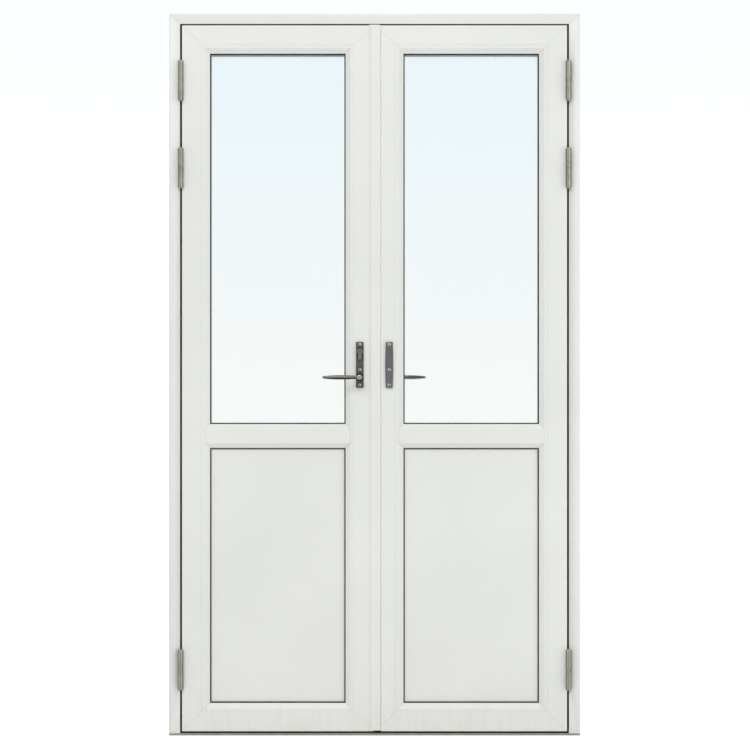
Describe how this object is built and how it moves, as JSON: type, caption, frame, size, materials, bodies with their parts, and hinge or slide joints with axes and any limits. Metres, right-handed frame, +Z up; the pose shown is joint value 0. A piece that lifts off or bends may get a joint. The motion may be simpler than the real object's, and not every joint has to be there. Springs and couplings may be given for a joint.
{
  "type": "french doors",
  "caption": "Pair of white aluminium-clad timber french doors in a rebated frame, glazed above solid panels, with espagnolette levers and lift-off hinges.",
  "frame": {"origin": "middle of the underside of the threshold, half way through the frame's depth", "axes": "+X to the right seen from outside, +Y into the building, +Z up; the leaves open towards -Y"},
  "size_m": [1.19, 0.1792, 2.09],
  "materials": {
    "painted_aluminium": "white powder coat, satin",
    "painted_timber": "softwood under a white satin paint",
    "threshold_alloy": "anodised, warm grey",
    "seal_rubber": "black EPDM",
    "hinge_zinc": "zinc plated, dull olive grey",
    "bright_steel": "bright zinc plated",
    "pewter": "dark patinated nickel",
    "clear_glass": "clear float glass",
    "spacer_alloy": "mill finish with desiccant slots",
    "panel_foam": "rigid foam",
    "cylinder_nickel": "satin nickel"
  },
  "bodies": {
    "frame": {"jamb_left": "painted_timber", "jamb_right": "painted_timber", "head": "painted_timber", "threshold": "threshold_alloy", "frame_cladding": "painted_aluminium", "rebate_seals": "seal_rubber", "hinge_frame_halves": "hinge_zinc", "hinge_pins": "bright_steel", "keeps": "bright_steel", "fixing_sleeves": "bright_steel", "frame_screws": "bright_steel"},
    "active_leaf": {"left_hinge_stile": "painted_timber", "left_lock_stile": "painted_timber", "left_end_rails": "painted_timber", "left_mid_rail": "painted_timber", "left_cladding": "painted_aluminium", "left_mid_cladding": "painted_aluminium", "left_glass": "clear_glass", "left_spacers": "spacer_alloy", "left_gaskets": "seal_rubber", "left_setting_blocks": "seal_rubber", "left_panel_skins": "painted_aluminium", "left_panel_core": "panel_foam", "left_hinge_halves": "hinge_zinc", "left_faceplate": "bright_steel", "left_screws": "bright_steel", "left_case": "bright_steel", "left_inside_plate": "pewter", "outside_plate": "pewter", "lock_cylinder": "cylinder_nickel", "cover_strip": "painted_aluminium", "meeting_seal": "seal_rubber"},
    "passive_leaf": {"right_hinge_stile": "painted_timber", "right_lock_stile": "painted_timber", "right_end_rails": "painted_timber", "right_mid_rail": "painted_timber", "right_cladding": "painted_aluminium", "right_mid_cladding": "painted_aluminium", "right_glass": "clear_glass", "right_spacers": "spacer_alloy", "right_gaskets": "seal_rubber", "right_setting_blocks": "seal_rubber", "right_panel_skins": "painted_aluminium", "right_panel_core": "panel_foam", "right_hinge_halves": "hinge_zinc", "right_faceplate": "bright_steel", "right_screws": "bright_steel", "right_case": "bright_steel", "right_inside_plate": "pewter", "blind_plate": "pewter"},
    "active_handle": {"outside_lever": "pewter", "left_inside_lever": "pewter", "left_follower": "bright_steel"},
    "active_upper_rod": {"left_upper_rod": "bright_steel"},
    "active_lower_rod": {"left_lower_rod": "bright_steel"},
    "passive_handle": {"right_inside_lever": "pewter", "right_follower": "bright_steel"},
    "passive_upper_rod": {"right_upper_rod": "bright_steel"},
    "passive_lower_rod": {"right_lower_rod": "bright_steel"},
    "key_plug": {"key_plug": "cylinder_nickel"}
  },
  "joints": [
    {"name": "active_leaf_hinge", "type": "hinge", "parent": "frame", "child": "active_leaf", "pos_m": [-0.56025, -0.0658, 1], "axis": [0, 0, -1], "range_deg": [0, 110]},
    {"name": "passive_leaf_hinge", "type": "hinge", "parent": "frame", "child": "passive_leaf", "pos_m": [0.56025, -0.0658, 1], "axis": [0, 0, 1], "range_deg": [0, 110]},
    {"name": "active_handle_turn", "type": "hinge", "parent": "active_leaf", "child": "active_handle", "pos_m": [-0.0425, -0.0575, 1.037], "axis": [0, -1, 0], "range_deg": [0, 90]},
    {"name": "active_upper_rod_slide", "type": "slide", "parent": "active_leaf", "child": "active_upper_rod", "axis": [0, 0, 1], "range_m": [0, 0.0172]},
    {"name": "active_lower_rod_slide", "type": "slide", "parent": "active_leaf", "child": "active_lower_rod", "axis": [0, 0, -1], "range_m": [0, 0.0172]},
    {"name": "passive_handle_turn", "type": "hinge", "parent": "passive_leaf", "child": "passive_handle", "pos_m": [0.0425, -0.0575, 1.037], "axis": [0, 1, 0], "range_deg": [0, 90]},
    {"name": "passive_upper_rod_slide", "type": "slide", "parent": "passive_leaf", "child": "passive_upper_rod", "axis": [0, 0, 1], "range_m": [0, 0.0172]},
    {"name": "passive_lower_rod_slide", "type": "slide", "parent": "passive_leaf", "child": "passive_lower_rod", "axis": [0, 0, -1], "range_m": [0, 0.0172]},
    {"name": "key_turn", "type": "hinge", "parent": "active_leaf", "child": "key_plug", "pos_m": [-0.0425, -0.0575, 1.112], "axis": [0, -1, 0], "continuous": true}
  ],
  "couplings": [
    {"joint": "active_upper_rod_slide", "follows": "active_handle_turn", "m_per_rad": 0.010804},
    {"joint": "active_lower_rod_slide", "follows": "active_handle_turn", "m_per_rad": 0.010804},
    {"joint": "passive_upper_rod_slide", "follows": "passive_handle_turn", "m_per_rad": 0.010804},
    {"joint": "passive_lower_rod_slide", "follows": "passive_handle_turn", "m_per_rad": 0.010804}
  ]
}
